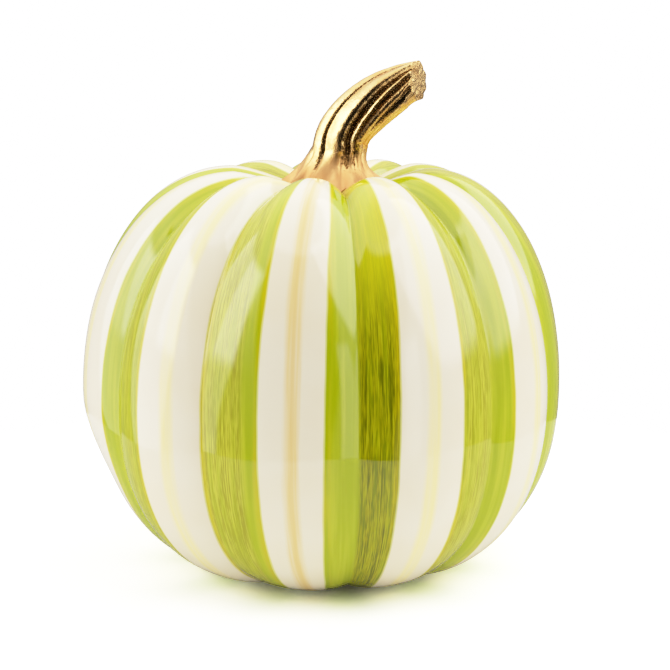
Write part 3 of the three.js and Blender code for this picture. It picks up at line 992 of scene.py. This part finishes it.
def build_world():
    """Plain soft light: big soft boxes left and right, a bright ceiling, and the dark side that
    the camera stands on. The camera itself sees white."""
    world = bpy.data.worlds.new("studio")
    bpy.context.scene.world = world
    world.use_nodes = True
    n = Nodes(world.node_tree)
    direction = n.node("ShaderNodeTexCoord").outputs["Generated"]
    split = n.node("ShaderNodeSeparateXYZ", {0: direction})
    x, y, z = (split.outputs[i] for i in range(3))
    degree = 180 / math.pi
    azimuth = n.times(n.math("ARCTAN2", x, n.times(y, -1.0)), degree)
    elevation = n.times(n.math("ARCSINE", z), degree)
    light = ROOM[0][1]
    for (low, dim), (high, bright) in zip(ROOM, ROOM[1:]):
        light = n.add(n.step(elevation, low, high, 0.0, bright - dim), light)
    gap = patch(n, azimuth, elevation, CAMERA_SIDE_GAP)
    light = n.times(light, n.math("SUBTRACT", 1.0, gap))
    for *shape, radiance in SOFT_BOXES:
        light = n.add(light, n.times(patch(n, azimuth, elevation, shape), radiance))
    light = n.times(light, STUDIO_LEVEL)
    lit = n.node("ShaderNodeBackground", {"Color": STUDIO_COLOUR, "Strength": light})
    seen = n.node("ShaderNodeBackground", {"Color": (1.0, 1.0, 1.0), "Strength": WHITE_POINT})
    camera_ray = n.node("ShaderNodeLightPath").outputs["Is Camera Ray"]
    mixed = n.node("ShaderNodeMixShader", {0: camera_ray, 1: lit.outputs[0], 2: seen.outputs[0]})
    n.node("ShaderNodeOutputWorld", {"Surface": mixed.outputs[0]})


def build_floor():
    """A pale round table top under the figure."""
    material, n = new_material("pale_table")
    away = n.node("ShaderNodeVectorMath", {0: n.place(), 1: tuple(AXIS)}, operation="DISTANCE")
    # Painted shade and bounce light: near the foot the table is laid darker and greener.
    painted_bounce_tone = n.mix(n.step(away.outputs["Value"], *PAINTED_BOUNCE_FADE), TABLE_PAINTED_BOUNCE_NEAR_FOOT, TABLE_SHOWN)
    glow, shaded_mirror, shown = (
        n.node("ShaderNodeBsdfDiffuse", {"Color": colour}).outputs[0]
        for colour in (TABLE_GLOW, TABLE_MIRRORED_SHADE, painted_bounce_tone)
    )
    rays = n.node("ShaderNodeLightPath").outputs
    # Painted shade: the table as the glaze mirrors it is laid darker than the light it gives.
    unseen = n.node("ShaderNodeMixShader", {0: rays["Is Glossy Ray"], 1: glow, 2: shaded_mirror})
    mixed = n.node("ShaderNodeMixShader", {0: rays["Is Camera Ray"], 1: unseen.outputs[0], 2: shown})
    n.node("ShaderNodeOutputMaterial", {"Surface": mixed.outputs[0]})
    points = []
    for azimuth in range(0, 360, TABLE_CORNER_STEP):
        a = math.radians(azimuth)
        points.append((AXIS.x + TABLE_RADIUS * math.sin(a), AXIS.y + TABLE_RADIUS * math.cos(a), 0))
    mesh = bpy.data.meshes.new("table_top")
    mesh.from_pydata(points, [], [list(range(len(points)))[::-1]])
    mesh.materials.append(material)
    floor = bpy.data.objects.new("table_top", mesh)
    bpy.context.scene.collection.objects.link(floor)


def set_film():
    """Plain colours with a soft shoulder, so that bright glaze and gold don't burn out."""
    view = bpy.context.scene.view_settings
    view.view_transform = "Standard"
    view.use_curve_mapping = True
    mapping = view.curve_mapping
    mapping.clip_max_x = WHITE_POINT
    curve = mapping.curves[COMBINED_CURVE]
    curve.points[0].location = FILM_CURVE[0]
    curve.points[1].location = FILM_CURVE[-1]
    for x, y in FILM_CURVE[1:-1]:
        curve.points.new(x, y)
    mapping.update()


def build_camera():
    """The photo's viewpoint: in front, a little above, with a long lens."""
    data = bpy.data.cameras.new("camera")
    data.lens = CAMERA_LENS
    data.clip_start, data.clip_end = CAMERA_CLIP
    camera = bpy.data.objects.new("camera", data)
    bpy.context.scene.collection.objects.link(camera)
    target = Vector((AXIS.x, AXIS.y, CAMERA_TARGET_Z))
    rise = math.radians(CAMERA_ELEVATION)
    offset = Vector((0, -math.cos(rise), math.sin(rise))) * CAMERA_DISTANCE
    camera.location = target + offset
    camera.rotation_euler = (-offset).to_track_quat("-Z", "Y").to_euler()
    bpy.context.scene.camera = camera


build_camera()
build_world()
build_floor()
build_body(glaze_material(), bisque_material())
build_stem(gold_material())
build_bond(epoxy_material())
build_plug(rubber_material("white_rubber", *WHITE_RUBBER))
build_bumpers(rubber_material("clear_rubber", *CLEAR_RUBBER))
set_film()
